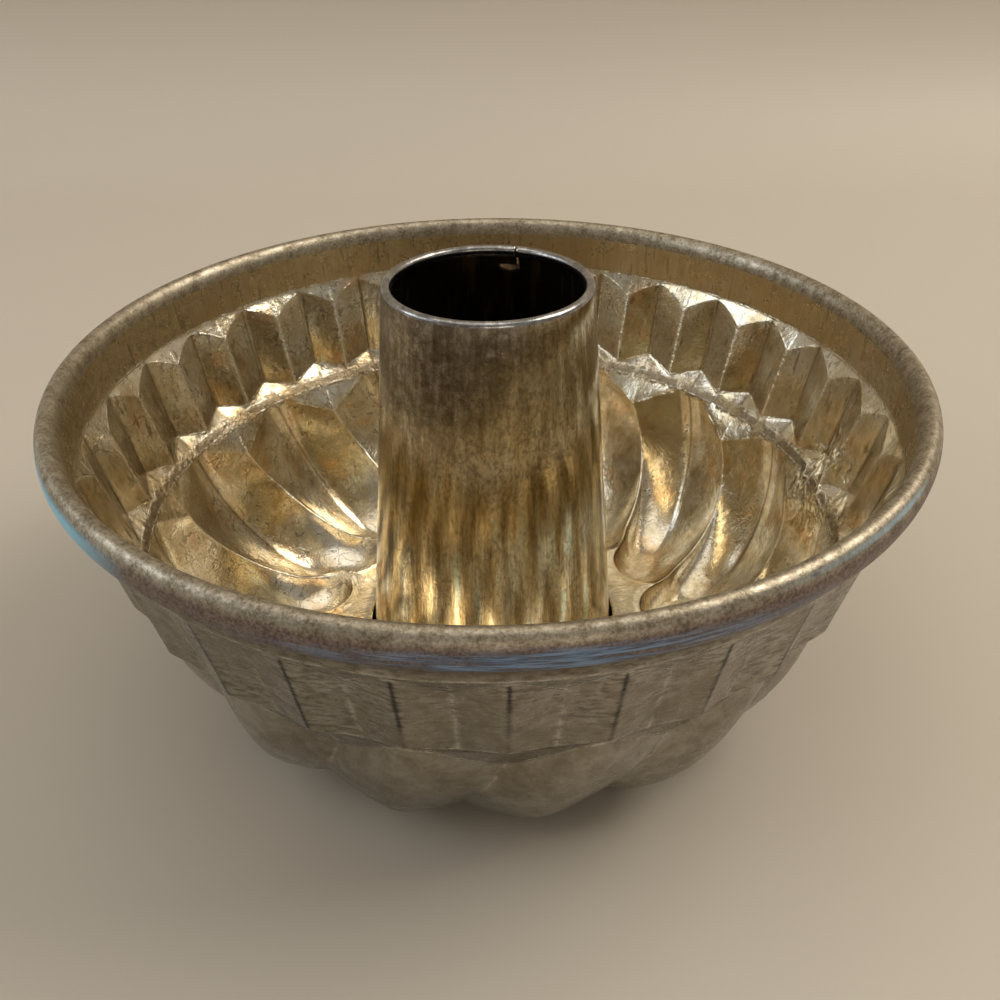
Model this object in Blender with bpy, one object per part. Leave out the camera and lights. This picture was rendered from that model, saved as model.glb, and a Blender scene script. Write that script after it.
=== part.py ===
"""Fluted tube pan: a pressed tinplate ring mould with a rolled centre tube.

Sizes are in metres and angles in radians. The pan's axis is the Z axis and z = 0 is the surface
that it stands on. Each piece is drawn as one face of its sheet, a stack of rings of points, and
then given the sheet's thickness. In the body this face is the side that the cake touches.
"""

import math

import bmesh
import bpy
from mathutils import Vector

# Sheet
SHEET = 0.0005
SEAT_GAP = 0.0003

# Rolled rim and the plain collar under it
RIM_RADIUS = 0.110
RIM_HEIGHT = 0.0942
ROLL_WIDTH = 0.0055
ROLL_HEIGHT = 0.0094
ROLL_GAP = 0.0003
COLLAR_DROP = 0.0106
COLLAR_TAPER = 0.0006

# Upper tier of flutes, two to a lobe, down to a plain ledge
FLUTE_DROP = 0.0284
FLUTE_TAPER = 0.0098
FLUTE_LIP_DROP = 0.0010
FLUTE_LIP_IN = 0.00025
TOP_FACET_DROP = 0.0059
TOP_FACET_IN = 0.0033
FOOT_FACET_DROP = 0.0038
FOOT_FACET_OUT = 0.0041
LEDGE_DROP = 0.0022
LEDGE_IN = 0.0016

# Lower tier of swirled lobes, which stand on their flattened tips
LOBES = 15
LOBE_SWIRL = math.radians(19.0)
LOBE_SHOULDER_DROP = 0.0008
RIDGE_FACET_DROP = 0.0084
RIDGE_FACET_IN = 0.0046
RIDGE_TURN_AT_TIP = math.radians(73.0)
TIP_PRESS = 0.0004
LAND_RUN = 0.0040
NOSE_RUN = 0.0110
NOTCH_RUN = 0.0090

# Floor ring round the tube, and the neck that the tube's foot grips
FLOOR_HEIGHT = 0.0086
FLOOR_WIDTH = 0.0095
HOLE_GAP = 0.0008
NECK_INSIDE_BEND = 0.0005
NECK_DROP = 0.0040

# Centre tube, rolled from one sheet whose ends lap at the back
TUBE_HEIGHT = 0.1134
TUBE_TOP_RADIUS = 0.0263
TUBE_FOOT_RADIUS = 0.0353
HEM_RADIUS = 0.0012
HEM_TURNDOWN = 0.0014
HOOK_RISE = 0.0022
LAP_WIDTH = 0.0050
LAP_SLIT = 0.0010
LAP_GAP = 0.0002
LAP_TOP_DROP = 0.0040
LAP_FOOT_RISE = 0.0050
LAP_TURN = math.radians(72.0)

# Turn of the whole pattern about the axis
PATTERN_TURN = math.radians(19.6)

# Where a lobe's section changes, as shares of the way from the ledge to the nose
FACET_ENDS = 0.25
FOLD_OPENS = 0.25
FOLD_POWER = 1.25

# Facets
UPPER_PHASES = (0.0, 0.25, 0.5, 0.75)
LOWER_PHASES = (0.0, 0.105, 0.25, 0.395, 0.5, 0.605, 0.75, 0.895)
ROLL_STEPS = 10
WALL_STEPS = 7
LAND_STEPS = 1
NOSE_STEPS = 3
BEND_STEPS = 3
HEM_STEPS = 4
HOOK_STEPS = 4
SHARP_ANGLE = math.radians(20.0)

# Heights and radii that follow from the sizes above
PITCH = 2 * math.pi / LOBES
ROLL_MIDDLE = RIM_HEIGHT - ROLL_HEIGHT / 2
COLLAR_RADIUS = RIM_RADIUS - ROLL_WIDTH
FLUTE_TOP_RADIUS = COLLAR_RADIUS - COLLAR_TAPER
FLUTE_TOP = ROLL_MIDDLE - COLLAR_DROP
LEDGE_RADIUS = FLUTE_TOP_RADIUS - FLUTE_TAPER
LEDGE = FLUTE_TOP - FLUTE_DROP
LOBE_RADIUS = LEDGE_RADIUS - LEDGE_IN
LOBE_TOP = LEDGE - LEDGE_DROP
LOBE_STEPS = WALL_STEPS + LAND_STEPS + NOSE_STEPS
TIP_SHARE = WALL_STEPS / LOBE_STEPS
LAND_SHARE = (WALL_STEPS + LAND_STEPS) / LOBE_STEPS
NOSE_RADIUS = TUBE_FOOT_RADIUS + FLOOR_WIDTH
HOLE_RADIUS = TUBE_FOOT_RADIUS + HOLE_GAP
NECK_FOOT = FLOOR_HEIGHT - NECK_DROP


def arc(centre, run, rise, start, end, steps):
    """Points (radius, z) on an arc of an ellipse, from one angle to another."""
    points = []
    for i in range(steps + 1):
        turn = math.radians(start + (end - start) * i / steps)
        points.append((centre[0] + run * math.cos(turn), centre[1] + rise * math.sin(turn)))
    return points


def polar(radius, turn, z):
    return Vector((radius * math.cos(turn), radius * math.sin(turn), z))


def circle(radius, z, phases=UPPER_PHASES, swirl=0.0):
    """A ring of points at the pattern's phases, turned clockwise by the swirl."""
    return [
        polar(radius, PATTERN_TURN - swirl + (lobe + phase) * PITCH, z)
        for lobe in range(LOBES)
        for phase in phases
    ]


def flute_ring(outer, inner):
    """A ring whose points lie on the outer ridges and the inner ridges of the flutes in turn."""
    points = []
    for i, place in enumerate(circle(1.0, 0.0)):
        radius, z = inner if i % 2 else outer
        points.append(Vector((place.x * radius, place.y * radius, z)))
    return points


def crease_profile(t):
    """Deepest line of a lobe, from under the ledge (t = 0) past its land to its nose (t = 1)."""
    tip = SHEET - TIP_PRESS
    land = NOSE_RADIUS + NOSE_RUN
    if t <= TIP_SHARE:
        turn = math.pi / 2 * t / TIP_SHARE
        top = LOBE_TOP - LOBE_SHOULDER_DROP
        land += LAND_RUN
        return land + (LOBE_RADIUS - land) * math.cos(turn), top - (top - tip) * math.sin(turn)
    turn = math.pi / 2 * max(0.0, t - LAND_SHARE) / (1 - LAND_SHARE)
    return land - NOSE_RUN * math.sin(turn), FLOOR_HEIGHT - (FLOOR_HEIGHT - tip) * math.cos(turn)


def ridge_profile(t):
    """Ridge between two lobes, from the point of its facet (t = 0) to the floor ring (t = 1)."""
    if t <= TIP_SHARE:
        turn = RIDGE_TURN_AT_TIP * t / TIP_SHARE
    else:
        turn = RIDGE_TURN_AT_TIP + (math.pi / 2 - RIDGE_TURN_AT_TIP) * (t - TIP_SHARE) / (1 - TIP_SHARE)
    apex_radius = LOBE_RADIUS - RIDGE_FACET_IN
    apex = LOBE_TOP - RIDGE_FACET_DROP
    notch = NOSE_RADIUS + NOTCH_RUN
    return notch + (apex_radius - notch) * math.cos(turn), apex - (apex - FLOOR_HEIGHT) * math.sin(turn)


def lobe_share(t, phase):
    """How far a lobe's section has left the ridge (0) for the crease (1)."""
    off_crease = 2 * min(phase, 1 - phase)
    facet_corner = 2 * LOWER_PHASES[1]
    facet = min(1.0, (1 - off_crease) / (1 - facet_corner))
    fold = 1 - off_crease ** FOLD_POWER
    bowl = math.sqrt(1 - off_crease ** 2)
    opened = min(1.0, max(0.0, (t - FOLD_OPENS) / (TIP_SHARE - FOLD_OPENS)))
    section = fold + (bowl - fold) * opened
    return facet + (section - facet) * min(1.0, t / FACET_ENDS)


def lobe_ring(t):
    points = []
    crease = crease_profile(t)
    ridge = ridge_profile(t)
    for lobe in range(LOBES):
        for phase in LOWER_PHASES:
            share = lobe_share(t, phase)
            radius = ridge[0] + share * (crease[0] - ridge[0])
            z = max(SHEET, ridge[1] + share * (crease[1] - ridge[1]))
            turn = PATTERN_TURN - LOBE_SWIRL * t + (lobe + phase) * PITCH
            points.append(polar(radius, turn, z))
    return points


def stitch(mesh, upper, lower):
    """Faces between two closed rings of vertices, one to one, one to two or two to one."""
    many = max(len(upper), len(lower))
    for i in range(min(len(upper), len(lower))):
        corners = []
        for ring in (upper, lower):
            step = len(ring) * 2 // many
            if len(upper) == len(lower):
                step = 1
            corners.append([ring[(i * step + k) % len(ring)] for k in range(step + 1)])
        mesh.faces.new(corners[0] + corners[1][::-1])


def sheet_object(name, mesh, material):
    """Give a drawn face the sheet's thickness behind it and make it a named object."""
    mesh.normal_update()
    bmesh.ops.solidify(mesh, geom=mesh.faces[:], thickness=SHEET)
    data = bpy.data.meshes.new(name)
    mesh.to_mesh(data)
    mesh.free()
    data.shade_smooth()
    data.set_sharp_from_angle(angle=SHARP_ANGLE)
    data.materials.append(material)
    piece = bpy.data.objects.new(name, data)
    bpy.context.scene.collection.objects.link(piece)
    return piece


def metal(name, colour, roughness):
    material = bpy.data.materials.new(name)
    material.use_nodes = True
    shader = material.node_tree.nodes["Principled BSDF"]
    shader.inputs["Base Color"].default_value = (*colour, 1.0)
    shader.inputs["Roughness"].default_value = roughness
    shader.inputs["Metallic"].default_value = 1.0
    return material


def mould_body(material):
    """The pressed body: rolled rim, collar, flutes, ledge, lobes, floor ring and neck."""
    roll = (RIM_RADIUS - ROLL_WIDTH / 2, ROLL_MIDDLE)
    tuck = math.degrees(math.acos(1 - (SHEET + ROLL_GAP) / (ROLL_WIDTH / 2)))
    rim = arc(roll, ROLL_WIDTH / 2, ROLL_HEIGHT / 2, tuck - 180.0, 180.0, ROLL_STEPS)
    rings = [circle(radius, z) for radius, z in rim]

    rings.append(circle(FLUTE_TOP_RADIUS, FLUTE_TOP))
    outer_top = (FLUTE_TOP_RADIUS - FLUTE_LIP_IN, FLUTE_TOP - FLUTE_LIP_DROP)
    inner_top = (FLUTE_TOP_RADIUS - TOP_FACET_IN, FLUTE_TOP - TOP_FACET_DROP)
    outer_foot = (LEDGE_RADIUS + FOOT_FACET_OUT, LEDGE + FOOT_FACET_DROP)
    inner_foot = (LEDGE_RADIUS + FLUTE_LIP_IN, LEDGE + FLUTE_LIP_DROP)
    rings.append(flute_ring(outer_top, inner_top))
    rings.append(flute_ring(outer_foot, inner_foot))
    rings.append(circle(LEDGE_RADIUS, LEDGE))

    rings.append(circle(LOBE_RADIUS, LOBE_TOP, LOWER_PHASES))
    rings += [lobe_ring(step / LOBE_STEPS) for step in range(LOBE_STEPS + 1)]

    bend = NECK_INSIDE_BEND + SHEET
    for radius, z in arc((HOLE_RADIUS + bend, FLOOR_HEIGHT - bend), bend, bend, 90.0, 180.0, BEND_STEPS):
        rings.append(circle(radius, z, swirl=LOBE_SWIRL))
    rings.append(circle(HOLE_RADIUS, NECK_FOOT, swirl=LOBE_SWIRL))

    mesh = bmesh.new()
    loops = [[mesh.verts.new(point) for point in ring] for ring in rings]
    for upper, lower in zip(loops, loops[1:]):
        stitch(mesh, upper, lower)
    body = sheet_object("mould_body", mesh, material)

    # The lobes stand on small lands, pressed level with the ground
    for vertex in body.data.vertices:
        if vertex.co.z < SHEET / 2:
            vertex.co.z = 0.0
    return body


def tube_wall_radius(z):
    """Outer radius of the tapered tube at a height."""
    share = (z - FLOOR_HEIGHT) / (TUBE_HEIGHT - FLOOR_HEIGHT)
    return TUBE_FOOT_RADIUS + (TUBE_TOP_RADIUS - TUBE_FOOT_RADIUS) * share


def centre_tube(material):
    """The tube: hemmed top, tapered wall, and a foot hooked up round the neck of the floor."""
    hem_middle = TUBE_HEIGHT - HEM_RADIUS
    hem_centre = (tube_wall_radius(hem_middle) - HEM_RADIUS, hem_middle)
    hem = arc(hem_centre, HEM_RADIUS, HEM_RADIUS, 180.0, 0.0, HEM_STEPS)
    hem.insert(0, (hem[0][0], hem_middle - HEM_TURNDOWN))

    lap_top = hem_middle - LAP_TOP_DROP
    lap_foot = FLOOR_HEIGHT + LAP_FOOT_RISE
    wall = [(tube_wall_radius(z), z) for z in (lap_top, lap_foot)]

    hook_outside = HOLE_RADIUS + SHEET + SEAT_GAP
    hook_run = (hook_outside - tube_wall_radius(NECK_FOOT)) / 2
    hook = arc((hook_outside - hook_run, NECK_FOOT), hook_run, hook_run, -180.0, 0.0, HOOK_STEPS)
    hook.append((hook_outside, NECK_FOOT + HOOK_RISE))
    profile = hem + wall + hook

    lap_rows = (len(hem), len(hem) + 1)
    slit = LAP_SLIT / TUBE_TOP_RADIUS
    columns = len(UPPER_PHASES) * LOBES
    mesh = bmesh.new()
    loops = []
    for i in range(columns + 1):
        turn = LAP_TURN - (2 * math.pi - slit) * i / columns
        loops.append([mesh.verts.new(polar(radius, turn, z)) for radius, z in profile])
    for left, right in zip(loops, loops[1:]):
        for row in range(len(profile) - 1):
            mesh.faces.new((left[row], right[row], right[row + 1], left[row + 1]))

    lap_drop = SHEET + LAP_GAP
    previous = [loops[0][row] for row in lap_rows]
    for run in (LAP_SLIT - LAP_GAP, LAP_SLIT + LAP_WIDTH / 2, LAP_SLIT + LAP_WIDTH):
        turn = LAP_TURN + run / TUBE_TOP_RADIUS
        lap = [(profile[row][0] - lap_drop, profile[row][1]) for row in lap_rows]
        strip = [mesh.verts.new(polar(radius, turn, z)) for radius, z in lap]
        mesh.faces.new((strip[0], previous[0], previous[1], strip[1]))
        previous = strip
    return sheet_object("centre_tube", mesh, material)


def build():
    for leftover in list(bpy.data.objects):
        bpy.data.objects.remove(leftover, do_unlink=True)
    mould_body(metal("tinplate_body", (0.50, 0.42, 0.29), 0.28))
    centre_tube(metal("tinplate_tube", (0.36, 0.31, 0.23), 0.34))


build()
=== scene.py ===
import math

import bmesh
import bpy
from mathutils import Matrix, Vector, noise


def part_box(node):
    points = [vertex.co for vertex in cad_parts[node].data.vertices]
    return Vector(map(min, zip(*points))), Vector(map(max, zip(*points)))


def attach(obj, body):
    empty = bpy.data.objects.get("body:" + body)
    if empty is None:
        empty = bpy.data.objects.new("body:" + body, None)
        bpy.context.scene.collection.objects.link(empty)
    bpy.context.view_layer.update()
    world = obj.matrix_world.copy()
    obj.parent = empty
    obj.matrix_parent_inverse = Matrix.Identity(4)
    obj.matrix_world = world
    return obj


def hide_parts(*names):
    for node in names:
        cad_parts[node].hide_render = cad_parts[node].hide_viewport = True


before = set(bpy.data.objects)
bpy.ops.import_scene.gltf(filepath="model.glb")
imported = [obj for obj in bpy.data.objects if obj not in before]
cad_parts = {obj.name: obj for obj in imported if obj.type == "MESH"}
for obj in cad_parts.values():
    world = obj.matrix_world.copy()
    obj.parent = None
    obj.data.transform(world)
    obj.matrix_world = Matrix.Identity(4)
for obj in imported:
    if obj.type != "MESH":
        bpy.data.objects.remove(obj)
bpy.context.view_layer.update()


# Pressed body
# One disc of tinned steel sheet, drawn deep and fluted in a press. Its edge is rolled outward into
# a hollow rim, and its middle is turned down into a neck that the centre tube is folded round.

BODY_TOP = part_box("mould_body")[1]
SHEET = 0.0005
RIM_RADIUS = BODY_TOP.x
RIM_HEIGHT = BODY_TOP.z
ROLL_WIDTH = 0.0055
ROLL_HEIGHT = 0.0094
ROLL_GAP = 0.0003
COLLAR_DROP = 0.0106
COLLAR_TAPER = 0.0006
FLUTE_DROP = 0.0284
FLUTE_TAPER = 0.0098
FLUTE_LIP_DROP = 0.0010
FLUTE_LIP_IN = 0.00025
TOP_FACET_DROP = 0.0059
TOP_FACET_IN = 0.0033
FOOT_FACET_DROP = 0.0038
FOOT_FACET_OUT = 0.0041
LEDGE_DROP = 0.0022
LEDGE_IN = 0.0016
LOBES = 15
LOBE_SWIRL = math.radians(19.0)
LOBE_SHOULDER_DROP = 0.0008
LOBE_FACET_CORNER = 0.105
RIDGE_FACET_DROP = 0.0084
RIDGE_FACET_IN = 0.0046
RIDGE_TURN_AT_TIP = math.radians(73.0)
LAND_EASE = 0.0007
LAND_RUN = 0.0040
NOSE_RUN = 0.0110
NOTCH_RUN = 0.0090
FLOOR_HEIGHT = 0.0086
FLOOR_WIDTH = 0.0095
TUBE_FOOT_RADIUS = 0.0353
HOLE_RADIUS = TUBE_FOOT_RADIUS + 0.0008
NECK_BEND = 0.0010
NECK_DROP = 0.0040
PATTERN_TURN = math.radians(19.6)
PITCH = 2 * math.pi / LOBES

# Shares of a lobe's length, and how sharp or full its folds and bowls are
FACET_ENDS = 0.25
FOLD_OPENS = 0.25
TIP_SHARE = 7 / 11
LAND_SHARE = 8 / 11
FOLD_POWER = 1.12
GROOVE = 0.05
FLUTE_FOLD = 0.014
FLUTE_ARCH = 1.6
LOBE_BULGE = 1.08
LOBE_FOLD = 0.012
CORNER_REACH = 0.0005
CORNER_SHARE = 0.45
FOLD_WEAR = 0.020

# Dents of use, fewest in the collar, one crumpled knock in the wall at the right, and rust pits
COLLAR_DENTS = 0.15
DENT_HEIGHT = 0.0006
DENT_SIZE = 0.014
KNOCK = Vector((0.0935, 0.0040, 0.0505))
KNOCK_SIZE = 0.019
KNOCK_DEPTH = 0.0013
CREASE_HEIGHT = 0.0004
CREASE_SIZE = 0.0065
PIT_SPACING = 0.0015625

ROLL_MIDDLE = RIM_HEIGHT - ROLL_HEIGHT / 2
COLLAR_RADIUS = RIM_RADIUS - ROLL_WIDTH
FLUTE_TOP_RADIUS = COLLAR_RADIUS - COLLAR_TAPER
FLUTE_TOP = ROLL_MIDDLE - COLLAR_DROP
LEDGE_RADIUS = FLUTE_TOP_RADIUS - FLUTE_TAPER
LEDGE = FLUTE_TOP - FLUTE_DROP
LOBE_RADIUS = LEDGE_RADIUS - LEDGE_IN
LOBE_TOP = LEDGE - LEDGE_DROP
NOSE_RADIUS = TUBE_FOOT_RADIUS + FLOOR_WIDTH

# Rows of points down the sheet
ROLL_STEPS = 20
WALL_STEPS = (3, 2, 9, 1, 1, 2, 1)
FIRST_LOBE_STEP = 0.006
LOBE_STEPS = 26
FLOOR_STEPS = (1, 3)
NECK_STEPS = 3
MERGED = 0.00001

# Where the columns of points lie across one lobe: close together at the folds
QUARTER = (0.0, 0.012, 0.030, 0.0775, 0.125, 0.1725, 0.220, 0.238)
FLUTE_PHASES = [quarter / 4 + step for quarter in range(4) for step in QUARTER] + [1.0]
HALF = (
    0.0, 0.010, 0.020, 0.030, 0.050, 0.080, 0.105, 0.135,
    0.180, 0.230, 0.285, 0.340, 0.395, 0.440, 0.468, 0.485,
)
LOBE_PHASES = [*HALF, 0.5, *(1 - step for step in reversed(HALF))]

# A fold is the average of five sharp ones, each shifted by its share of the fold's width
FOLD_SHIFTS = (-1.0, -0.5, 0.0, 0.5, 1.0)

# Colours of the tin inside, on the rim and outside
BAKED_BROWN = (0.37, 0.275, 0.14)
BAKED_GOLD = (0.60, 0.505, 0.335)
PALE_GOLD = (0.77, 0.70, 0.54)
BRIGHT_TIN = (0.91, 0.88, 0.80)
GREY_PATCH = (0.80, 0.79, 0.75)
# Painted warm reflection, laid in random copper patches
COPPER_REFLECTION = (0.80, 0.52, 0.27)
COLLAR_BROWN = (0.45, 0.345, 0.19)
COLLAR_GOLD = (0.59, 0.485, 0.315)
SCRATCH_BROWN = (0.19, 0.125, 0.065)
SCORE_BROWN = (0.17, 0.12, 0.065)
PIT_BROWN = (0.12, 0.08, 0.05)
FOLD_GRIME = (0.20, 0.13, 0.06)
# Rubbed tin with a painted highlight on ridges and edges, and a painted highlight on the knock's
# creases
RUBBED_TIN_HIGHLIGHT = (0.93, 0.90, 0.80)
CREASE_HIGHLIGHT = (0.98, 0.93, 0.79)
RIM_BROWN = (0.21, 0.17, 0.115)
RIM_BEIGE = (0.38, 0.33, 0.245)
RIM_PALE = (0.57, 0.51, 0.405)
# Painted reflections and glints on the rim's outer side
REFLECTION_PURPLE = (0.12, 0.09, 0.085)
REFLECTION_BROWN = (0.25, 0.19, 0.175)
REFLECTION_DEEP_BLUE = (0.08, 0.11, 0.175)
REFLECTION_BLUE = (0.24, 0.34, 0.52)
GLINT_SKY_BLUE = (0.34, 0.72, 1.0)
GLINT_PALE_BLUE = (0.52, 0.76, 0.92)
DULL_BROWN = (0.22, 0.19, 0.145)
DULL_GREY = (0.30, 0.27, 0.215)
DULL_TIN = (0.40, 0.38, 0.33)
PRESS_BROWN = (0.10, 0.08, 0.055)
# Painted shade along folds, rubbed grey with a painted highlight, and painted shade under ledge and
# rim
FOLD_SHADE_BLACK = (0.035, 0.03, 0.03)
RUBBED_GREY_HIGHLIGHT = (0.62, 0.58, 0.50)
SHADE_BLACK = (0.07, 0.055, 0.045)


def clamped(value):
    return min(1.0, max(0.0, value))


def polar(radius, turn, z):
    return Vector((radius * math.cos(turn), radius * math.sin(turn), z))


def arc(centre, run, rise, start, end, steps):
    """Points (radius, z) on an arc of an ellipse, from one angle to another."""
    points = []
    for i in range(steps + 1):
        turn = math.radians(start + (end - start) * i / steps)
        points.append((centre[0] + run * math.cos(turn), centre[1] + rise * math.sin(turn)))
    return points


def circle_point(phase, radius, z, swirl=0.0):
    return polar(radius, PATTERN_TURN - swirl + phase * PITCH, z)


def flute_point(phase, outer, inner, arch=1.0):
    """A point on a ring of flutes. Between ridges it is straight, or arched up over each flute."""
    total = Vector()
    for shift in FOLD_SHIFTS:
        along = (phase + shift * FLUTE_FOLD) * 4
        ridge = math.floor(along)
        to_inner = ridge + 1 - along if ridge % 2 else along - ridge
        raised = (outer[1] - inner[1]) * (to_inner - to_inner ** arch)
        ends = []
        for k in (ridge, ridge + 1):
            radius, z = inner if k % 2 else outer
            leant = radius + raised * FLUTE_TAPER / FLUTE_DROP
            ends.append(polar(leant, PATTERN_TURN + k * PITCH / 4, z + raised))
        total += ends[0].lerp(ends[1], along - ridge)
    return total / len(FOLD_SHIFTS)


def crease_profile(t):
    """Deepest line of a lobe, from under the ledge (t = 0) past its land to its nose (t = 1)."""
    tip = SHEET - LAND_EASE
    land = NOSE_RADIUS + NOSE_RUN
    if t <= TIP_SHARE:
        turn = math.pi / 2 * t / TIP_SHARE
        top = LOBE_TOP - LOBE_SHOULDER_DROP
        start = land + LAND_RUN
        out, down = math.cos(turn) ** LOBE_BULGE, math.sin(turn) ** LOBE_BULGE
        return start + (LOBE_RADIUS - start) * out, top - (top - tip) * down
    if t < LAND_SHARE:
        return land + LAND_RUN * (LAND_SHARE - t) / (LAND_SHARE - TIP_SHARE), tip
    turn = math.pi / 2 * (t - LAND_SHARE) / (1 - LAND_SHARE)
    return land - NOSE_RUN * math.sin(turn), FLOOR_HEIGHT - (FLOOR_HEIGHT - tip) * math.cos(turn)


def ridge_profile(t):
    """Ridge between two lobes, from the point of its facet (t = 0) to the floor ring (t = 1)."""
    if t <= TIP_SHARE:
        turn = RIDGE_TURN_AT_TIP * t / TIP_SHARE
    else:
        last = math.pi / 2 - RIDGE_TURN_AT_TIP
        turn = RIDGE_TURN_AT_TIP + last * (t - TIP_SHARE) / (1 - TIP_SHARE)
    apex_radius = LOBE_RADIUS - RIDGE_FACET_IN
    apex = LOBE_TOP - RIDGE_FACET_DROP
    notch = NOSE_RADIUS + NOTCH_RUN
    radius = notch + (apex_radius - notch) * math.cos(turn)
    return radius, apex - (apex - FLOOR_HEIGHT) * math.sin(turn)


def lobe_share(t, phase):
    """How far a lobe's section has left the ridge (0) for the narrow strip of its crease (1)."""
    total = 0.0
    for shift in FOLD_SHIFTS:
        turned = (phase + shift * LOBE_FOLD) % 1
        off_crease = 2 * min(turned, 1 - turned)
        facet = min(1.0, (1 - off_crease) / (1 - 2 * LOBE_FACET_CORNER))
        fold = 1 - max(0.0, (off_crease - GROOVE) / (1 - GROOVE)) ** FOLD_POWER
        bowl = math.sqrt(1 - off_crease ** 2)
        opened = clamped((t - FOLD_OPENS) / (TIP_SHARE - FOLD_OPENS))
        section = fold + (bowl - fold) * opened
        total += facet + (section - facet) * min(1.0, t / FACET_ENDS)
    return total / len(FOLD_SHIFTS)


def lobe_point(phase, t):
    crease = crease_profile(t)
    ridge = ridge_profile(t)
    share = lobe_share(t, phase)
    radius = ridge[0] + share * (crease[0] - ridge[0])
    above = ridge[1] + share * (crease[1] - ridge[1]) - SHEET
    if above < LAND_EASE:
        above = (above + LAND_EASE) ** 2 / (4 * LAND_EASE)
    return circle_point(phase, radius, SHEET + above, LOBE_SWIRL * t)


def rounded(points, steps, edges):
    """A line through points with its corners rounded. steps says how many parts each leg has,
    and edges gets the place in the line of the middle of each corner."""
    line = [points[0]]
    for i in range(1, len(points)):
        start, end = line[-1], points[i]
        if i < len(points) - 1:
            leg = points[i] - points[i - 1]
            onward = points[i + 1] - points[i]
            end = points[i] - leg * min(CORNER_SHARE, CORNER_REACH / leg.length)
            leave = points[i] + onward * min(CORNER_SHARE, CORNER_REACH / onward.length)
        line += [start.lerp(end, k / steps[i - 1]) for k in range(1, steps[i - 1] + 1)]
        if i < len(points) - 1:
            edges.append(len(line))
            line += [(end + 2 * points[i] + leave) / 4, leave]
    return line


def body_column(flute_phase, lobe_phase):
    """One line of points down the sheet, from the roll's hidden edge to the foot of the neck, and
    the numbers of the points that lie on an edge."""
    roll = (RIM_RADIUS - ROLL_WIDTH / 2, ROLL_MIDDLE)
    tuck = math.degrees(math.acos(1 - (SHEET + ROLL_GAP) / (ROLL_WIDTH / 2)))
    rim = arc(roll, ROLL_WIDTH / 2, ROLL_HEIGHT / 2, tuck - 180.0, 180.0, ROLL_STEPS)
    column = [circle_point(flute_phase, *point) for point in rim]
    outer_top = (FLUTE_TOP_RADIUS - FLUTE_LIP_IN, FLUTE_TOP - FLUTE_LIP_DROP)
    inner_top = (FLUTE_TOP_RADIUS - TOP_FACET_IN, FLUTE_TOP - TOP_FACET_DROP)
    outer_foot = (LEDGE_RADIUS + FOOT_FACET_OUT, LEDGE + FOOT_FACET_DROP)
    inner_foot = (LEDGE_RADIUS + FLUTE_LIP_IN, LEDGE + FLUTE_LIP_DROP)
    lobe_steps = [FIRST_LOBE_STEP] + [step / LOBE_STEPS for step in range(1, LOBE_STEPS + 1)]
    upper = [
        column[-1],
        circle_point(flute_phase, FLUTE_TOP_RADIUS, FLUTE_TOP),
        flute_point(flute_phase, outer_top, inner_top, FLUTE_ARCH),
        flute_point(flute_phase, outer_foot, inner_foot),
        circle_point(flute_phase, LEDGE_RADIUS, LEDGE),
        circle_point(lobe_phase, LOBE_RADIUS, LOBE_TOP),
        lobe_point(lobe_phase, 0.0),
        lobe_point(lobe_phase, lobe_steps[1]),
    ]
    edges = []
    column[-1:] = rounded(upper, WALL_STEPS, edges)
    edges = [len(rim) - 1 + edge for edge in edges]
    column += [lobe_point(lobe_phase, t) for t in lobe_steps[2:-1]]
    lower = [
        column[-1],
        lobe_point(lobe_phase, 1.0),
        circle_point(lobe_phase, HOLE_RADIUS + NECK_BEND, FLOOR_HEIGHT, LOBE_SWIRL),
    ]
    last = []
    floor_start = len(column) - 1
    column[-1:] = rounded(lower, FLOOR_STEPS, last)
    edges += [floor_start + edge for edge in last]
    bend = (HOLE_RADIUS + NECK_BEND, FLOOR_HEIGHT - NECK_BEND)
    neck = arc(bend, NECK_BEND, NECK_BEND, 90.0, 180.0, NECK_STEPS)
    neck.append((HOLE_RADIUS, FLOOR_HEIGHT - NECK_DROP))
    column += [circle_point(lobe_phase, *point, LOBE_SWIRL) for point in neck[1:]]
    return column, edges


def dent_play(place):
    """How much of the dents a place takes: none on the rim, the lands and the neck."""
    radius = math.hypot(place.x, place.y)
    if radius >= COLLAR_RADIUS:
        return 0.0
    below_rim = clamped((ROLL_MIDDLE - place.z) / COLLAR_DROP)
    above_land = clamped((place.z - SHEET) / FLOOR_HEIGHT)
    off_neck = clamped((radius - HOLE_RADIUS - NECK_BEND) / FLOOR_WIDTH)
    return (COLLAR_DENTS + (1 - COLLAR_DENTS) * below_rim) * above_land * off_neck


def skinned(mesh, lines):
    """Make the faces between neighbouring lines of points, and list each with its row's number."""
    faces = []
    for left, right in zip(lines, lines[1:]):
        for row in range(len(left) - 1):
            face = mesh.faces.new((left[row], right[row], right[row + 1], left[row + 1]))
            face.smooth = True
            faces.append((row, face))
    return faces


def settled(mesh, name):
    """The finished mesh as Blender's data."""
    mesh.normal_update()
    data = bpy.data.meshes.new(name)
    mesh.to_mesh(data)
    mesh.free()
    return data


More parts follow.
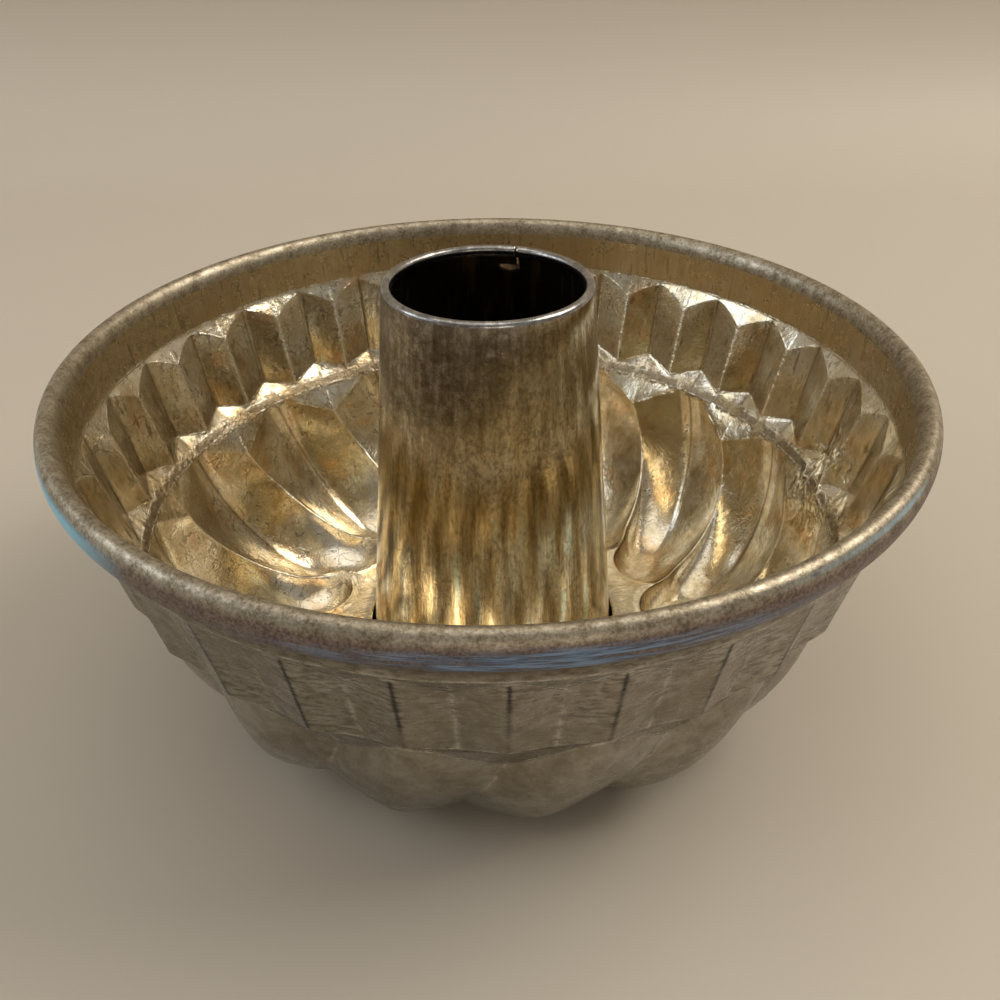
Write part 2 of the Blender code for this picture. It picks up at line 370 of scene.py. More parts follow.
def lobe_sector():
    """One lobe with its two flutes and its stretch of rim, as a single face of the sheet."""
    mesh = bmesh.new()
    play = mesh.verts.layers.float.new("play")
    outer_fold = mesh.verts.layers.float.new("outer_fold")
    inner_fold = mesh.verts.layers.float.new("inner_fold")
    edge = mesh.verts.layers.float.new("edge")
    bead = mesh.faces.layers.float.new("bead")
    columns = []
    for flute_phase, lobe_phase in zip(FLUTE_PHASES, LOBE_PHASES):
        points, edges = body_column(flute_phase, lobe_phase)
        columns.append([mesh.verts.new(point) for point in points])
        off_outer = abs((2 * flute_phase + 0.5) % 1 - 0.5) / 2
        off_crease = min(lobe_phase, 1 - lobe_phase)
        for i, vertex in enumerate(columns[-1]):
            if LEDGE < vertex.co.z < FLUTE_TOP - FLUTE_LIP_DROP:
                vertex[outer_fold] = max(0.0, 1 - off_outer / FOLD_WEAR)
                vertex[inner_fold] = max(0.0, 1 - (0.25 - off_outer) / FOLD_WEAR)
            elif FLOOR_HEIGHT + SHEET < vertex.co.z < LOBE_TOP - LOBE_SHOULDER_DROP:
                vertex[outer_fold] = max(0.0, 1 - off_crease / FOLD_WEAR)
                vertex[inner_fold] = max(0.0, 1 - (0.5 - off_crease) / FOLD_WEAR)
            vertex[edge] = 1.0 if i in edges else 0.0
            vertex[play] = dent_play(vertex.co)
    for row, face in skinned(mesh, columns):
        face[bead] = 1.0 if row < ROLL_STEPS else 0.0
    return settled(mesh, "lobe_sector")


def node(tree, kind, inputs=(), **settings):
    """Add a node. inputs maps a socket's name or number to a value, or to a socket to link from."""
    made = tree.nodes.new(kind)
    for key, value in settings.items():
        setattr(made, key, value)
    for key, value in dict(inputs).items():
        if isinstance(value, bpy.types.NodeSocket):
            tree.links.new(value, made.inputs[key])
        else:
            made.inputs[key].default_value = value
    return made


def math_node(tree, operation, *values):
    return node(tree, "ShaderNodeMath", enumerate(values), operation=operation).outputs[0]


def vector_node(tree, operation, inputs, output=0):
    return node(tree, "ShaderNodeVectorMath", inputs, operation=operation).outputs[output]


def times(tree, first, *others):
    """The product of sockets and numbers."""
    for other in others:
        first = math_node(tree, "MULTIPLY", first, other)
    return first


def mixed(tree, first, second, share):
    """Two patterns added up, the first with this share of the whole."""
    return math_node(tree, "ADD", times(tree, first, share), times(tree, second, 1.0 - share))


def wavered(tree, value, pattern, reach):
    """A value shifted up and down by a pattern that averages a half."""
    return math_node(tree, "MULTIPLY_ADD", math_node(tree, "SUBTRACT", pattern, 0.5), reach, value)


def spread(tree, value, low, high, to_low=0.0, to_high=1.0):
    """A value between low and high, spread out from to_low to to_high and held there past them."""
    inputs = {"Value": value, "From Min": low, "From Max": high, "To Min": to_low, "To Max": to_high}
    return node(tree, "ShaderNodeMapRange", inputs, clamp=True).outputs[0]


def band(tree, value, rise, fall):
    """1 between two limits and 0 outside them. rise and fall are the soft steps at its ends."""
    return times(tree, spread(tree, value, *rise), spread(tree, value, *fall))


def ramp(tree, factor, *stops):
    """Colour ramp with (position, colour) stops, linear between them."""
    made = node(tree, "ShaderNodeValToRGB", {"Fac": factor})
    elements = made.color_ramp.elements
    while len(elements) < len(stops):
        elements.new(0.5)
    for element, (position, colour) in zip(elements, stops):
        element.position = position
        element.color = (*colour, 1.0)
    return made.outputs["Color"]


def blend(tree, factor, under, over, strength=1.0):
    """Colour over laid on colour under, as far as factor times strength says."""
    made = node(tree, "ShaderNodeMix", data_type="RGBA")
    if strength != 1.0:
        factor = times(tree, factor, strength)
    tree.links.new(factor, made.inputs[0])
    for socket, colour in ((made.inputs[6], under), (made.inputs[7], over)):
        if isinstance(colour, tuple):
            socket.default_value = (*colour, 1.0)
        else:
            tree.links.new(colour, socket)
    return made.outputs[2]


def axis(tree, where, name):
    return node(tree, "ShaderNodeSeparateXYZ", {0: where}).outputs[name]


def marked(tree, name):
    """A mark that the mesh carries, such as its folds."""
    return node(tree, "ShaderNodeAttribute", attribute_name=name).outputs["Fac"]


def blotches(tree, where, scale, detail, roughness=0.5, output="Fac"):
    inputs = {"Vector": where, "Scale": scale, "Detail": detail, "Roughness": roughness}
    return node(tree, "ShaderNodeTexNoise", inputs).outputs[output]


def grain(tree, where, size, detail=3.0, stretch=(1.0, 1.0, 1.0), roughness=0.55):
    """Noise on object coordinates whose blotches are about size metres across."""
    scaled = node(tree, "ShaderNodeMapping", {"Vector": where, "Scale": stretch}).outputs[0]
    return blotches(tree, scaled, 1.0 / size, detail, roughness)


def crackle(tree, where, size, width):
    """Thin crooked lines, 1 on a line and 0 off it, round cells about size metres across."""
    warp = blotches(tree, where, 1.6 / size, 3.0, output="Color")
    shift = vector_node(tree, "SCALE", {0: warp, "Scale": size})
    crooked = vector_node(tree, "ADD", {0: where, 1: shift})
    inputs = {"Vector": crooked, "Scale": 1.0 / size}
    cells = node(tree, "ShaderNodeTexVoronoi", inputs, feature="DISTANCE_TO_EDGE")
    return spread(tree, cells.outputs["Distance"], width / size, 0.0)


def crumple(tree, where):
    """One knock in the wall: how near its middle a point is, and the crooked creases round it."""
    apart = vector_node(tree, "DISTANCE", {0: where, 1: KNOCK}, "Value")
    wave = math_node(tree, "SUBTRACT", blotches(tree, where, 1.0 / CREASE_SIZE, 2.0, 0.45), 0.5)
    crease = spread(tree, math_node(tree, "ABSOLUTE", wave), 0.11, 0.0)
    crease = times(tree, crease, spread(tree, apart, KNOCK_SIZE, 0.45 * KNOCK_SIZE))
    return spread(tree, apart, 0.9 * KNOCK_SIZE, 0.1 * KNOCK_SIZE), crease


def metal(name):
    """A metal with nothing linked yet: the material, its tree and its object coordinates."""
    material = bpy.data.materials.new(name)
    material.use_nodes = True
    tree = material.node_tree
    return material, tree, node(tree, "ShaderNodeTexCoord").outputs["Object"]


def finished(material, colour, roughness, heights):
    """Link a metal's colour, roughness and bump, from (height socket, depth in metres) pairs."""
    tree = material.node_tree
    shader = tree.nodes["Principled BSDF"]
    shader.inputs["Metallic"].default_value = 1.0
    total = 0.0
    for height, depth in heights:
        total = math_node(tree, "MULTIPLY_ADD", height, depth, total)
    bump = node(tree, "ShaderNodeBump", {"Height": total, "Distance": 1.0}).outputs[0]
    tree.links.new(colour, shader.inputs["Base Color"])
    tree.links.new(roughness, shader.inputs["Roughness"])
    tree.links.new(bump, shader.inputs["Normal"])
    return material


def inside_finish():
    """Baked-on gold and brown over bright tin: a tarnished collar, scratched flutes, a dark score
    along the ledge, cracks and pits in the stain, copper patches that are a painted reflection,
    rubbed folds and edges that carry a painted highlight, and the knock's creases, painted bright."""
    material, tree, where = metal("tin_inside")
    height = axis(tree, where, "Z")
    cloud = grain(tree, where, 0.030, 4.0)
    mottle = grain(tree, where, 0.006, 5.0, roughness=0.7)
    fine = grain(tree, where, 0.0022, 4.0, roughness=0.7)
    streak = grain(tree, where, 0.0016, 2.0, stretch=(1.0, 1.0, 0.08))
    patches = grain(tree, where, 0.010, 3.0)
    tone = mixed(tree, cloud, mottle, 0.5)
    colour = ramp(
        tree, tone,
        (0.37, BAKED_BROWN), (0.45, BAKED_GOLD), (0.54, PALE_GOLD), (0.65, BRIGHT_TIN),
    )
    colour = blend(tree, spread(tree, patches, 0.52, 0.64, 0.0, 0.35), colour, GREY_PATCH)
    # Copper patches: a painted warm reflection, laid in random patches.
    colour = blend(tree, spread(tree, patches, 0.43, 0.33, 0.0, 0.45), colour, COPPER_REFLECTION)

    collar = spread(tree, height, FLUTE_TOP - 0.001, FLUTE_TOP + 0.001)
    tarnish = blend(tree, spread(tree, streak, 0.30, 0.70), COLLAR_BROWN, COLLAR_GOLD)
    colour = blend(tree, collar, colour, tarnish, 0.75)
    wall = spread(tree, height, LEDGE - 0.002, LEDGE + 0.002)
    scratches = times(tree, spread(tree, streak, 0.60, 0.70), wall)
    colour = blend(tree, scratches, colour, SCRATCH_BROWN, 0.55)

    ragged = wavered(tree, height, fine, 0.0055)
    lower, upper = (LOBE_TOP - 0.0008, LOBE_TOP + 0.0002), (LEDGE + 0.0007, LEDGE - 0.0003)
    score = times(tree, band(tree, ragged, lower, upper), spread(tree, mottle, 0.32, 0.50))
    colour = blend(tree, score, colour, SCORE_BROWN, 0.85)

    cracks = times(tree, crackle(tree, where, 0.005, 0.0003), spread(tree, mottle, 0.44, 0.56))
    most_at_left = spread(tree, axis(tree, where, "X"), 0.020, -0.045, 0.20, 0.60)
    colour = blend(tree, times(tree, cracks, most_at_left), colour, SCRATCH_BROWN)
    inputs = {"Vector": where, "Scale": 1.0 / PIT_SPACING}
    dots = node(tree, "ShaderNodeTexVoronoi", inputs, feature="F1").outputs["Distance"]
    pits = times(tree, spread(tree, dots, 0.24, 0.12), spread(tree, mottle, 0.47, 0.57))
    colour = blend(tree, pits, colour, PIT_BROWN, 0.75)

    colour = blend(tree, marked(tree, "outer_fold"), colour, FOLD_GRIME, 0.6)
    # Rubbed tin along the folds and edges, lightened further as a painted highlight.
    edge = times(tree, marked(tree, "edge"), spread(tree, mottle, 0.42, 0.56))
    rubbed = math_node(tree, "MAXIMUM", marked(tree, "inner_fold"), edge)
    rubbed = times(tree, rubbed, spread(tree, fine, 0.40, 0.56))
    colour = blend(tree, rubbed, colour, RUBBED_TIN_HIGHLIGHT, 0.8)
    # Painted highlight along the creases of the knock.
    creases = crumple(tree, where)[1]
    colour = blend(tree, spread(tree, creases, 0.65, 0.92, 0.0, 0.9), colour, CREASE_HIGHLIGHT)

    roughness = spread(tree, tone, 0.36, 0.66, 0.22, 0.10)
    dull = math_node(tree, "MAXIMUM", collar, score)
    roughness = math_node(tree, "MULTIPLY_ADD", dull, 0.12, roughness)
    heights = (
        (mottle, 0.00020), (streak, 0.00003), (fine, 0.00005), (rubbed, 0.00008),
        (creases, 0.00030), (times(tree, score, fine), 0.0004),
    )
    return finished(material, colour, roughness, heights)


def bead_finish():
    """The rolled rim: rubbed beige on top, with painted reflections round its outer side: dark
    purple and brown below, a blue band at the front, a blue glint at the left and a thin blue
    highlight line at the right."""
    material, tree, where = metal("tin_rim")
    aside, inward, height = (axis(tree, where, name) for name in "XYZ")
    over_middle = math_node(tree, "SUBTRACT", height, ROLL_MIDDLE)
    flat = vector_node(tree, "MULTIPLY", {0: where, 1: (1.0, 1.0, 0.0)})
    radius = vector_node(tree, "LENGTH", {0: flat}, "Value")
    outer = spread(tree, radius, RIM_RADIUS - 0.60 * ROLL_WIDTH, RIM_RADIUS - 0.35 * ROLL_WIDTH)
    rub = grain(tree, where, 0.0035, 4.0, roughness=0.7)
    fine = grain(tree, where, 0.0007, 4.0, roughness=0.7)
    brushed = grain(tree, where, 0.007, 3.0, stretch=(0.7, 0.7, 12.0))
    tone = mixed(tree, rub, fine, 0.5)
    colour = ramp(tree, tone, (0.39, RIM_BROWN), (0.49, RIM_BEIGE), (0.60, RIM_PALE))
    # Painted reflection: the roll's lower outer side is dark purple and brown.
    stain = blend(tree, spread(tree, fine, 0.40, 0.60), REFLECTION_PURPLE, REFLECTION_BROWN)
    low = times(tree, outer, spread(tree, over_middle, 0.0030, 0.0014))
    colour = blend(tree, low, colour, stain, 0.9)

    # Painted reflection: a blue band round the front of the roll's lower outer side.
    off_front = math_node(tree, "ABSOLUTE", math_node(tree, "SUBTRACT", aside, 0.010))
    raised = math_node(tree, "MULTIPLY_ADD", off_front, 0.035, over_middle)
    front = times(
        tree, spread(tree, raised, 0.0024, 0.0006), spread(tree, over_middle, -0.0048, -0.0040),
        outer, spread(tree, brushed, 0.36, 0.50), spread(tree, off_front, 0.064, 0.014),
    )
    blue = blend(tree, spread(tree, brushed, 0.44, 0.60), REFLECTION_DEEP_BLUE, REFLECTION_BLUE)
    colour = blend(tree, front, colour, blue)

    # Painted glint: sky blue on the outer side of the roll at the left.
    left = times(
        tree, spread(tree, aside, -0.068, -0.084), spread(tree, inward, 0.004, -0.022),
        spread(tree, over_middle, 0.0030, 0.0012), outer,
    )
    colour = blend(tree, left, colour, GLINT_SKY_BLUE)
    # Painted highlight: a thin pale blue line along the roll's outer side at the right.
    right = times(
        tree, band(tree, aside, (0.050, 0.080), (0.092, 0.085)),
        spread(tree, inward, -0.030, -0.050), outer,
        band(tree, over_middle, (0.0025, 0.0030), (0.0039, 0.0034)),
        spread(tree, rub, 0.38, 0.56, 0.5, 0.85),
    )
    colour = blend(tree, right, colour, GLINT_PALE_BLUE)
    roughness = spread(tree, rub, 0.3, 0.7, 0.54, 0.34)
    return finished(material, colour, roughness, ((rub, 0.00008), (fine, 0.00006)))


def outside_finish():
    """Dull grey-brown tin with press marks on the flutes, painted shade as black lines along their
    folds and under the ledge and the rim, and rubbed grey with a painted highlight on ridges and
    edges.
    """
    material, tree, where = metal("tin_outside")
    height = axis(tree, where, "Z")
    cloud = grain(tree, where, 0.022, 4.0)
    mottle = grain(tree, where, 0.004, 4.0, roughness=0.7)
    marks = grain(tree, where, 0.0030, 2.0, stretch=(1.0, 1.0, 3.2), roughness=0.6)
    wall = spread(tree, height, LEDGE - 0.001, LEDGE + 0.001)
    tone = mixed(tree, cloud, mottle, 0.5)
    colour = ramp(tree, tone, (0.38, DULL_BROWN), (0.50, DULL_GREY), (0.62, DULL_TIN))
    pressed = times(tree, spread(tree, marks, 0.48, 0.60), spread(tree, cloud, 0.40, 0.52), wall)
    colour = blend(tree, pressed, colour, PRESS_BROWN, 0.55)

    # Painted shade: broken black lines along the outer folds of the flutes.
    fold_shade = wavered(tree, marked(tree, "outer_fold"), marks, 0.9)
    fold_shade = times(tree, spread(tree, fold_shade, 0.22, 0.80), spread(tree, cloud, 0.34, 0.48), wall)
    colour = blend(tree, fold_shade, colour, FOLD_SHADE_BLACK, 0.9)
    # Rubbed grey on ridges and edges, lightened as a painted highlight.
    rubbed = math_node(tree, "MAXIMUM", marked(tree, "inner_fold"), marked(tree, "edge"))
    rubbed = times(tree, rubbed, spread(tree, mottle, 0.40, 0.58))
    colour = blend(tree, rubbed, colour, RUBBED_GREY_HIGHLIGHT, 0.7)

    # Painted shade: black bands under the ledge and under the rim.
    lower, upper = (LEDGE - 0.0012, LEDGE - 0.0004), (LEDGE + 0.0008, LEDGE + 0.0002)
    shade_under_ledge = times(tree, band(tree, height, lower, upper), 0.6)
    shade_under_rim = spread(tree, height, FLUTE_TOP - 0.0005, FLUTE_TOP + 0.0030, 0.0, 0.7)
    colour = blend(tree, math_node(tree, "MAXIMUM", shade_under_ledge, shade_under_rim), colour, SHADE_BLACK)
    roughness = spread(tree, tone, 0.36, 0.66, 0.32, 0.20)
    heights = ((mottle, 0.00008), (times(tree, marks, wall), 0.00024), (rubbed, 0.00010))
    return finished(material, colour, roughness, heights)


def ring_of_lobes(inside, bead_metal):
    """Geometry Nodes tree that repeats one sector round the axis and gives the sheet its dents."""
    tree = bpy.data.node_groups.new("ring_of_lobes", "GeometryNodeTree")
    face = tree.interface
    face.new_socket("Geometry", in_out="INPUT", socket_type="NodeSocketGeometry")
    face.new_socket("Lobes", in_out="INPUT", socket_type="NodeSocketInt")
    for name in ("Dent Height", "Dent Size", "Knock Depth", "Crease Height"):
        face.new_socket(name, in_out="INPUT", socket_type="NodeSocketFloat")
    face.new_socket("Geometry", in_out="OUTPUT", socket_type="NodeSocketGeometry")
    given = node(tree, "NodeGroupInput").outputs

    step = math_node(tree, "DIVIDE", 2 * math.pi, given["Lobes"])
    index = node(tree, "GeometryNodeInputIndex").outputs[0]
    euler = node(tree, "ShaderNodeCombineXYZ", {"Z": times(tree, index, step)}).outputs[0]
    turned = node(tree, "FunctionNodeEulerToRotation", {0: euler}).outputs[0]
    points = node(tree, "GeometryNodePoints", {"Count": given["Lobes"]}).outputs[0]
    copies = node(
        tree, "GeometryNodeInstanceOnPoints",
        {"Points": points, "Instance": given["Geometry"], "Rotation": turned},
    ).outputs[0]
    ring = node(tree, "GeometryNodeRealizeInstances", {0: copies}).outputs[0]
    inputs = {"Geometry": ring, "Distance": MERGED}
    closed = node(tree, "GeometryNodeMergeByDistance", inputs).outputs[0]

    place = node(tree, "GeometryNodeInputPosition").outputs[0]
    outward = node(tree, "GeometryNodeInputNormal").outputs[0]
    inputs = {"Name": "play"}
    play = node(tree, "GeometryNodeInputNamedAttribute", inputs, data_type="FLOAT").outputs[0]
    swell = blotches(tree, place, math_node(tree, "DIVIDE", 1.0, given["Dent Size"]), 2.0)
    rise = times(tree, math_node(tree, "SUBTRACT", swell, 0.5), given["Dent Height"])
    near, crease = crumple(tree, place)
    knocked = times(tree, near, times(tree, near, given["Knock Depth"]))
    knocked = math_node(tree, "MULTIPLY_ADD", crease, given["Crease Height"], knocked)
    push = math_node(tree, "MULTIPLY_ADD", rise, play, knocked)
    offset = vector_node(tree, "SCALE", {0: outward, "Scale": push})
    inputs = {"Geometry": closed, "Offset": offset}
    dented = node(tree, "GeometryNodeSetPosition", inputs).outputs[0]

    whole = node(tree, "GeometryNodeRealizeInstances", {0: dented}).outputs[0]
    inputs = {"Geometry": whole, "Material": inside}
    coated = node(tree, "GeometryNodeSetMaterial", inputs).outputs[0]
    inputs = {"Name": "bead"}
    rolled = node(tree, "GeometryNodeInputNamedAttribute", inputs, data_type="FLOAT").outputs[0]
    on_rim = math_node(tree, "GREATER_THAN", rolled, 0.5)
    inputs = {"Geometry": coated, "Selection": on_rim, "Material": bead_metal}
    rubbed = node(tree, "GeometryNodeSetMaterial", inputs).outputs[0]
    node(tree, "NodeGroupOutput", {"Geometry": rubbed})
    return tree


def put(name, data):
    """Add an object to the scene."""
    placed = bpy.data.objects.new(name, data)
    bpy.context.scene.collection.objects.link(placed)
    return placed


def applied(piece):
    """The piece's evaluated mesh as a plain object of the same name; its modifiers are gone."""
    name = piece.name
    bpy.context.view_layer.update()
    evaluated = piece.evaluated_get(bpy.context.evaluated_depsgraph_get())
    data = bpy.data.meshes.new_from_object(evaluated)
    bpy.data.objects.remove(piece)
    data.name = name
    return put(name, data)


def thickened(piece, material_offset):
    """Give a drawn face the sheet's thickness on its back."""
    wall = piece.modifiers.new("sheet", "SOLIDIFY")
    wall.thickness = SHEET
    wall.offset = -1.0
    wall.material_offset = material_offset
    return applied(piece)


pressed_body = put("pressed_body", lobe_sector())
repeat = pressed_body.modifiers.new("ring", "NODES")
repeat.node_group = ring_of_lobes(inside_finish(), bead_finish())
sizes = {
    "Lobes": LOBES, "Dent Height": DENT_HEIGHT, "Dent Size": DENT_SIZE,
    "Knock Depth": KNOCK_DEPTH, "Crease Height": CREASE_HEIGHT,
}
for socket in repeat.node_group.interface.items_tree:
    if socket.in_out == "INPUT" and socket.name in sizes:
        repeat[socket.identifier] = sizes[socket.name]
pressed_body = applied(pressed_body)
outside = outside_finish()
pressed_body.data.materials.append(outside)
pressed_body.data.materials.append(outside)
pressed_body = thickened(pressed_body, 2)
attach(pressed_body, "root")
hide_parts("mould_body")


# Centre tube
# A tapered strip of the same sheet, rolled up with its ends lapped at the back. Its top edge is
# hemmed inward, with a slit left in the hem, and its foot is folded up round the body's neck.

TUBE_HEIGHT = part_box("centre_tube")[1].z
TUBE_TOP_RADIUS = 0.0263
HEM_RADIUS = 0.0012
HEM_TURNDOWN = 0.0014
HOOK_RISE = 0.0022
SEAT_GAP = 0.0003
LAP_WIDTH = 0.0050
LAP_SLIT = 0.0004
LAP_GAP = 0.0002
LAP_TOP_DROP = 0.0040
LAP_FOOT_RISE = 0.0050
LAP_TURN = math.radians(72.0)

# Shallow dents, stretched along the tube
TUBE_DENT = 0.00012
TUBE_DENT_SIZE = 0.016
TUBE_DENT_STRETCH = 0.35

TUBE_COLUMNS = 240
HEM_STEPS = 10
LAP_STEPS = 40
HOOK_STEPS = 6

# Colours of the tube's wall, hem and bore
STREAK_BROWN = (0.36, 0.29, 0.165)
STREAK_GOLD = (0.60, 0.52, 0.35)
STREAK_BRIGHT = (0.82, 0.76, 0.62)
STREAK_GREEN = (0.48, 0.70, 0.66)
SMOKE_DARK = (0.13, 0.105, 0.075)
SMOKE_GREY = (0.24, 0.205, 0.16)
SMOKE_THIN = (0.46, 0.43, 0.37)
SPECKLE_BROWN = (0.40, 0.32, 0.19)
SPECKLE_GOLD = (0.54, 0.46, 0.30)
SPECKLE_PALE = (0.66, 0.58, 0.42)
SCUFF_BROWN = (0.15, 0.105, 0.055)
CRACK_BROWN = (0.10, 0.07, 0.04)
HEM_DARK = (0.20, 0.19, 0.18)
HEM_GREY = (0.36, 0.35, 0.34)
HEM_BRIGHT = (0.60, 0.60, 0.60)
BORE_BLACK = (0.045, 0.038, 0.030)
BORE_BROWN = (0.15, 0.10, 0.06)
BORE_RUST = (0.26, 0.16, 0.07)


def tube_wall_radius(z):
    """Outer radius of the tapered tube at a height."""
    share = (z - FLOOR_HEIGHT) / (TUBE_HEIGHT - FLOOR_HEIGHT)
    return TUBE_FOOT_RADIUS + (TUBE_TOP_RADIUS - TUBE_FOOT_RADIUS) * share


def tube_sheet():
    """The tube's outer face from the hem's hidden edge to the hook's, and the strip of its lap."""
    hem_middle = TUBE_HEIGHT - HEM_RADIUS
    hem_centre = (tube_wall_radius(hem_middle) - HEM_RADIUS, hem_middle)
    hem = arc(hem_centre, HEM_RADIUS, HEM_RADIUS, 180.0, 0.0, HEM_STEPS)
    hem.insert(0, (hem[0][0], hem_middle - HEM_TURNDOWN))
    lap_top = hem_middle - LAP_TOP_DROP
    lap_foot = FLOOR_HEIGHT + LAP_FOOT_RISE
    heights = [lap_top + (lap_foot - lap_top) * step / LAP_STEPS for step in range(LAP_STEPS + 1)]
    wall = [(tube_wall_radius(z), z) for z in heights]
    neck_foot = FLOOR_HEIGHT - NECK_DROP
    hook_outside = HOLE_RADIUS + SHEET + SEAT_GAP
    hook_run = (hook_outside - tube_wall_radius(neck_foot)) / 2
    hook_centre = (hook_outside - hook_run, neck_foot)
    hook = arc(hook_centre, hook_run, hook_run, -180.0, 0.0, HOOK_STEPS)
    hook.append((hook_outside, neck_foot + HOOK_RISE))
    profile = hem + wall + hook

    slit = LAP_SLIT / TUBE_TOP_RADIUS
    mesh = bmesh.new()
    loops = []
    for i in range(TUBE_COLUMNS + 1):
        turn = LAP_TURN - (2 * math.pi - slit) * i / TUBE_COLUMNS
        loop = []
        for radius, z in profile:
            point = polar(radius, turn, TUBE_DENT_STRETCH * z)
            dent = noise.noise(point / TUBE_DENT_SIZE)
            loop.append(mesh.verts.new(polar(radius + TUBE_DENT * dent, turn, z)))
        loops.append(loop)
    for row, face in skinned(mesh, loops):
        face.material_index = 1 if row < len(hem) - 1 else 0

    rows = range(len(hem), len(hem) + len(wall))
    previous = [loops[0][row] for row in rows]
    for run in (LAP_SLIT - LAP_GAP, LAP_SLIT + LAP_WIDTH / 2, LAP_SLIT + LAP_WIDTH):
        turn = LAP_TURN + run / TUBE_TOP_RADIUS
        lap = [polar(profile[row][0] - SHEET - LAP_GAP, turn, profile[row][1]) for row in rows]
        strip = [mesh.verts.new(point) for point in lap]
        for _, face in skinned(mesh, (strip, previous)):
            face.material_index = 2
        previous = strip
    return settled(mesh, "rolled_tube")


def tube_finish():
    """Smoky grey near the top on one side, golden below, with streaks and cracks in the stain."""
    material, tree, where = metal("tin_tube")
    aside, height = axis(tree, where, "X"), axis(tree, where, "Z")
    cloud = grain(tree, where, 0.016, 4.0)
    mottle = grain(tree, where, 0.0026, 5.0, roughness=0.75)
    scratch = grain(tree, where, 0.0008, 4.0, stretch=(1.0, 1.0, 0.5), roughness=0.85)
    streak = grain(tree, where, 0.0026, 4.0, stretch=(1.0, 1.0, 0.05), roughness=0.7)
    up = spread(tree, height, 0.040, 0.108)
    most_at_left = spread(tree, aside, 0.016, -0.014, 0.30, 1.0)
    smoke = wavered(tree, times(tree, up, most_at_left), cloud, 1.0)
    smoke = spread(tree, smoke, 0.30, 0.80)

    golden = ramp(tree, streak, (0.38, STREAK_BROWN), (0.50, STREAK_GOLD), (0.60, STREAK_BRIGHT))
    speckled = ramp(
        tree, scratch, (0.40, SPECKLE_BROWN), (0.50, SPECKLE_GOLD), (0.62, SPECKLE_PALE),
    )
    golden = blend(tree, spread(tree, height, 0.030, 0.070, 0.0, 0.5), golden, speckled)
    soot = mixed(tree, mottle, streak, 0.6)
    smoky = ramp(tree, soot, (0.38, SMOKE_DARK), (0.49, SMOKE_GREY), (0.60, SMOKE_THIN))
    colour = blend(tree, smoke, golden, smoky)
    cool = times(tree, spread(tree, streak, 0.57, 0.61), spread(tree, height, 0.070, 0.040))
    colour = blend(tree, cool, colour, STREAK_GREEN, 0.85)
    colour = blend(tree, spread(tree, scratch, 0.50, 0.38), colour, SCUFF_BROWN, 0.45)
    cracks = times(tree, crackle(tree, where, 0.0042, 0.0003), spread(tree, cloud, 0.44, 0.56))
    colour = blend(tree, cracks, colour, CRACK_BROWN, 0.4)
    roughness = spread(tree, smoke, 0.0, 1.0, 0.11, 0.32)
    heights = ((streak, 0.00006), (mottle, 0.00003), (scratch, 0.00002))
    return finished(material, colour, roughness, heights)


def hem_finish():
    """The hemmed edge, rubbed to bare grey metal."""
    material, tree, where = metal("tin_hem")
    rub = grain(tree, where, 0.003, 4.0, roughness=0.7)
    colour = ramp(tree, rub, (0.34, HEM_DARK), (0.52, HEM_GREY), (0.68, HEM_BRIGHT))
    roughness = spread(tree, rub, 0.3, 0.7, 0.30, 0.18)
    return finished(material, colour, roughness, ((rub, 0.00006),))


def bore_finish():
    """The tube's inside, black with oven smoke over rust brown."""
    material, tree, where = metal("tin_bore")
    cloud = grain(tree, where, 0.012, 4.0)
    run = grain(tree, where, 0.0035, 3.0, stretch=(1.0, 1.0, 0.10))
    colour = ramp(tree, cloud, (0.40, BORE_BLACK), (0.62, BORE_BROWN))
    colour = blend(tree, spread(tree, run, 0.56, 0.68), colour, BORE_RUST)
    roughness = spread(tree, cloud, 0.3, 0.7, 0.42, 0.28)
    return finished(material, colour, roughness, ((cloud, 0.0002),))


rolled_tube = put("rolled_tube", tube_sheet())
hem_metal = hem_finish()
bore_metal = bore_finish()
for finish in (tube_finish(), hem_metal, bore_metal, hem_metal, bore_metal):
    rolled_tube.data.materials.append(finish)
rolled_tube = thickened(rolled_tube, 2)
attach(rolled_tube, "root")
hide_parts("centre_tube")


# Floor, backdrop, lights and camera
# A pale sheet that runs along the floor and curves up behind the pan, four soft boxes and a dim
# even sky. The camera stands where the photograph was taken.

STAGE_HALF_WIDTH = 1.6
STAGE_FRONT = -1.4
STAGE_BACK = 0.44
STAGE_BEND = 0.12
STAGE_BEND_STEPS = 16
STAGE_TOP = 1.6
STAGE_PAINT = (0.59, 0.532, 0.448, 1.0)
STAGE_ROUGHNESS = 0.55
SKY_COLOUR = (1.0, 0.93, 0.83, 1.0)
SKY_STRENGTH = 0.29
PAN_MIDDLE = Vector((0, 0, 0.05))


def stage_sheet():
    """The floor and backdrop, one sheet with a round bend between them."""
    outline = [(STAGE_FRONT, 0.0)]
    bend = (STAGE_BACK, STAGE_BEND)
    outline += arc(bend, STAGE_BEND, STAGE_BEND, -90.0, 0.0, STAGE_BEND_STEPS)
    outline.append((STAGE_BACK + STAGE_BEND, STAGE_TOP))
    mesh = bmesh.new()
    sides = (-STAGE_HALF_WIDTH, STAGE_HALF_WIDTH)
    skinned(mesh, [[mesh.verts.new((x, y, z)) for y, z in outline] for x in sides])
    data = settled(mesh, "stage_sheet")
    paint = bpy.data.materials.new("stage_paint")
    paint.use_nodes = True
    shader = paint.node_tree.nodes["Principled BSDF"]
    shader.inputs["Base Color"].default_value = STAGE_PAINT
    shader.inputs["Roughness"].default_value = STAGE_ROUGHNESS
    data.materials.append(paint)
    return put("stage_sheet", data)


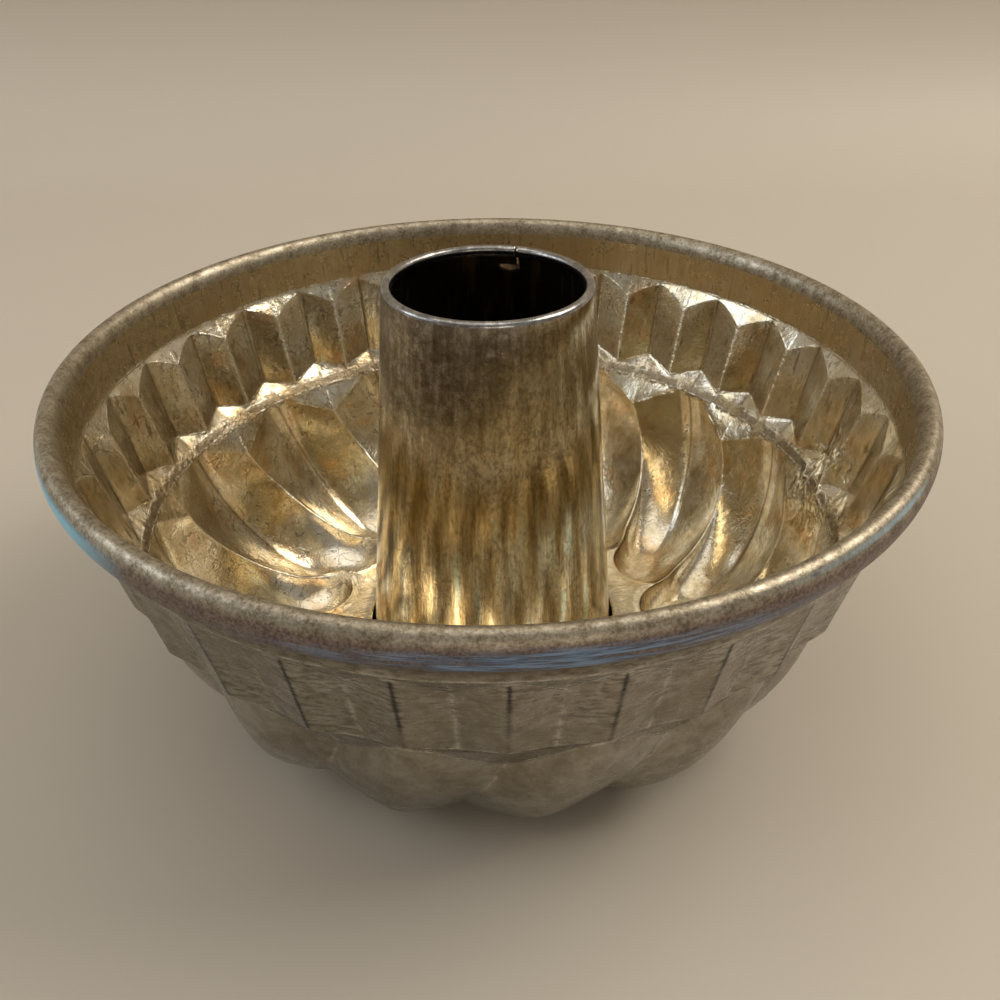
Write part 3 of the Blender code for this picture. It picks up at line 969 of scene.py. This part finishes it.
def soft_box(name, place, width, height, watts, colour):
    """An area light aimed at the middle of the pan."""
    light = bpy.data.lights.new(name, "AREA")
    light.shape = "RECTANGLE"
    light.size = width
    light.size_y = height
    light.energy = watts
    light.color = colour
    lamp = put(name, light)
    lamp.location = place
    lamp.rotation_euler = (Vector(place) - PAN_MIDDLE).to_track_quat("Z", "Y").to_euler()


stage_sheet()
soft_box("key", (1.05, 0.30, 1.26), 1.2, 0.9, 17.8, (1.0, 0.93, 0.82))
soft_box("overhead", (-0.25, -0.15, 1.45), 1.2, 1.2, 4.6, (1.0, 0.94, 0.85))
soft_box("window", (-1.3, -0.1, 0.75), 0.9, 0.7, 4.0, (0.86, 0.93, 1.0))
soft_box("front_glow", (0.25, -1.5, 0.30), 0.9, 0.16, 1.1, (1.0, 0.84, 0.68))

world = bpy.data.worlds.new("room")
world.use_nodes = True
sky = world.node_tree.nodes["Background"]
sky.inputs["Color"].default_value = SKY_COLOUR
sky.inputs["Strength"].default_value = SKY_STRENGTH
bpy.context.scene.world = world

CAMERA_DISTANCE = 0.26097
CAMERA_ELEVATION = math.radians(26.10)
CAMERA_YAW = math.radians(0.52)
CAMERA_PITCH = math.radians(-7.51)
CAMERA_ROLL = math.radians(-0.42)

reach = Vector((0, math.cos(CAMERA_ELEVATION), -math.sin(CAMERA_ELEVATION)))
level = Vector((1, 0, 0))
upward = level.cross(reach)
ahead = reach * math.cos(CAMERA_YAW) * math.cos(CAMERA_PITCH)
ahead += level * math.sin(CAMERA_YAW) * math.cos(CAMERA_PITCH) + upward * math.sin(CAMERA_PITCH)
ahead.normalize()
right = ahead.cross(Vector((0, 0, 1))).normalized()
above = right.cross(ahead)
tilted_right = right * math.cos(CAMERA_ROLL) + above * math.sin(CAMERA_ROLL)
tilted_above = above * math.cos(CAMERA_ROLL) - right * math.sin(CAMERA_ROLL)
lens = bpy.data.cameras.new("view")
lens.sensor_width = 36.0
lens.lens = 36.0
lens.clip_start = 0.01
view = put("view", lens)
view.matrix_world = Matrix.Translation(Vector((0, 0, ROLL_MIDDLE)) - reach * CAMERA_DISTANCE) @ Matrix(
    (tilted_right, tilted_above, -ahead)
).transposed().to_4x4()
bpy.context.scene.camera = view
bpy.context.scene.view_settings.view_transform = "Standard"
